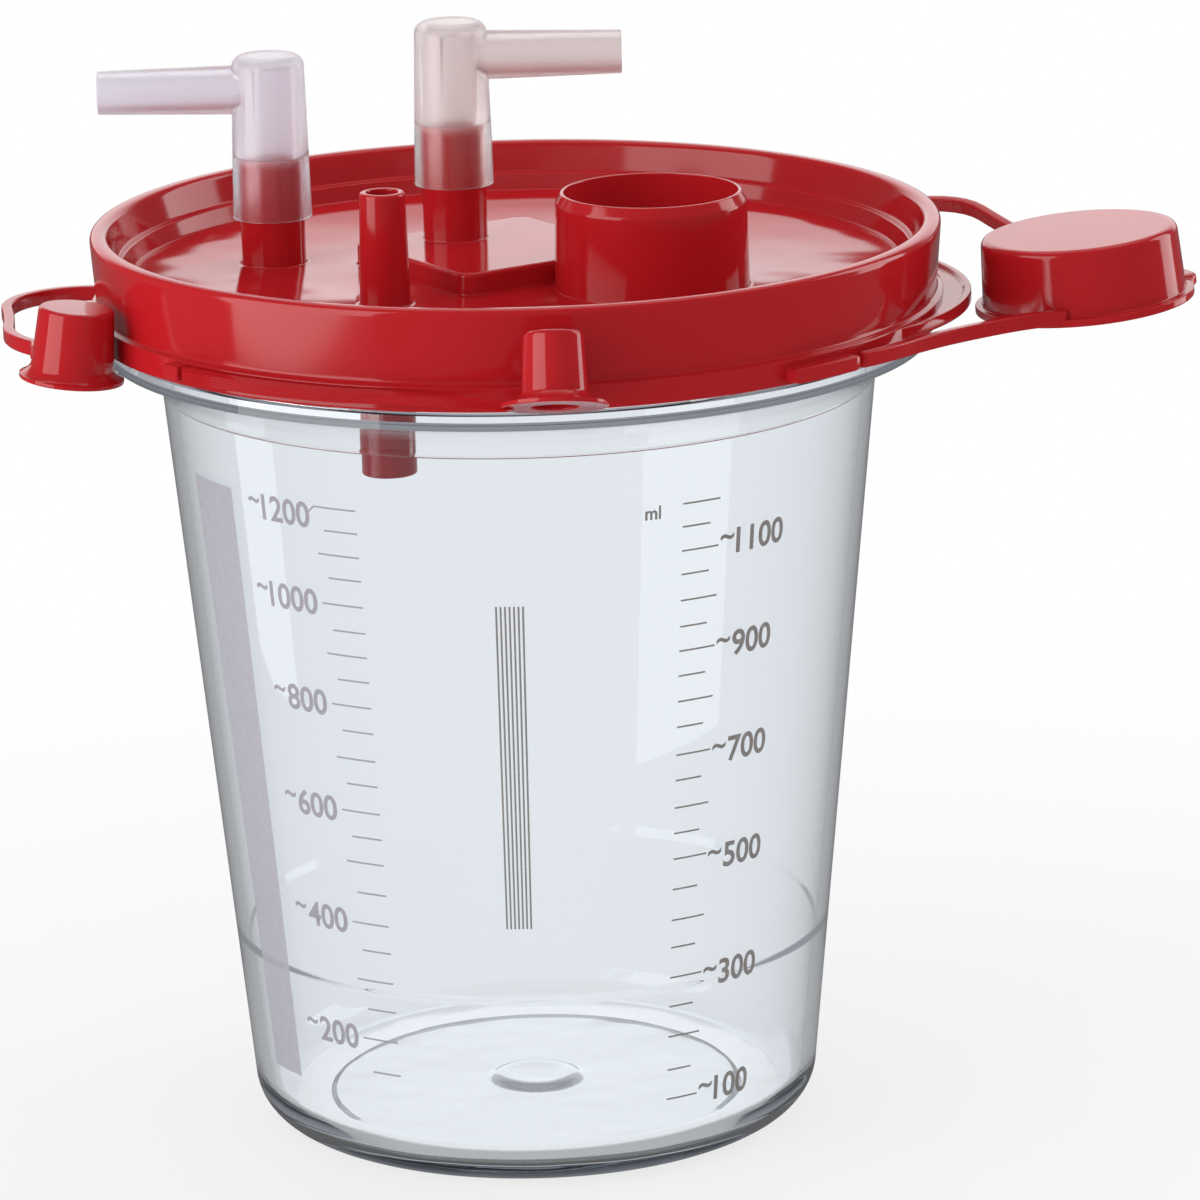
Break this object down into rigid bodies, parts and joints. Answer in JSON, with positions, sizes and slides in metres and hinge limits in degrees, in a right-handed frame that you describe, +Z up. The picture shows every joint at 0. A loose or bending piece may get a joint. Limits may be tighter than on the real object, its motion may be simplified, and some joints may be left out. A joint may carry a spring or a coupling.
{
  "type": "suction canister",
  "caption": "Clear tapered collection jar with a press-on red lid, ported deck, push-on elbows and tethered port caps.",
  "frame": {"origin": "centre of the jar's foot, in the plane it stands on", "axes": "+Z up along the jar's axis, -Y towards the printed scale, +X towards the lift ear and the pour cap"},
  "size_m": [0.2162, 0.1713, 0.2008],
  "materials": {
    "clear_plastic": "clear, polished",
    "red_plastic": "glossy, slightly soft",
    "milky_plastic": "satin, milky",
    "filter_media": "matt, porous"
  },
  "bodies": {
    "jar_body": {"canister": "clear_plastic"},
    "lid_body": {"lid": "red_plastic", "filter_membrane": "filter_media", "filter_retainer": "milky_plastic"},
    "patient_elbow_body": {"patient_elbow": "milky_plastic"},
    "vacuum_elbow_body": {"vacuum_elbow": "milky_plastic"},
    "patient_cap_body": {"patient_cap": "red_plastic"},
    "tandem_cap_body": {"tandem_cap": "red_plastic"},
    "pour_cap_body": {"pour_cap": "red_plastic"}
  },
  "joints": [
    {"name": "lid_lift", "type": "slide", "parent": "jar_body", "child": "lid_body", "axis": [0, 0, 1], "range_m": [0, 0.06]},
    {"name": "patient_elbow_turn", "type": "hinge", "parent": "lid_body", "child": "patient_elbow_body", "pos_m": [-0.0437, 0.008, 0.1659], "axis": [0, 0, 1], "range_deg": [-150, 150]},
    {"name": "vacuum_elbow_turn", "type": "hinge", "parent": "lid_body", "child": "vacuum_elbow_body", "pos_m": [-0.0108, 0.0074, 0.1713], "axis": [0, 0, 1], "range_deg": [-150, 150]},
    {"name": "patient_cap_swing", "type": "hinge", "parent": "lid_body", "child": "patient_cap_body", "pos_m": [-0.07725, 0.01897, 0.15015], "axis": [0, 0, 1], "range_deg": [-90, 0], "stiffness_Nm_per_rad": 0.01},
    {"name": "tandem_cap_swing", "type": "hinge", "parent": "lid_body", "child": "tandem_cap_body", "pos_m": [-0.05707, -0.05397, 0.15095], "axis": [0, 0, 1], "range_deg": [-80, 0], "stiffness_Nm_per_rad": 0.01},
    {"name": "pour_cap_fold", "type": "hinge", "parent": "lid_body", "child": "pour_cap_body", "pos_m": [0.05973, 0, 0.15015], "axis": [0, -1, 0], "range_deg": [-55, 30], "stiffness_Nm_per_rad": 0.05}
  ]
}
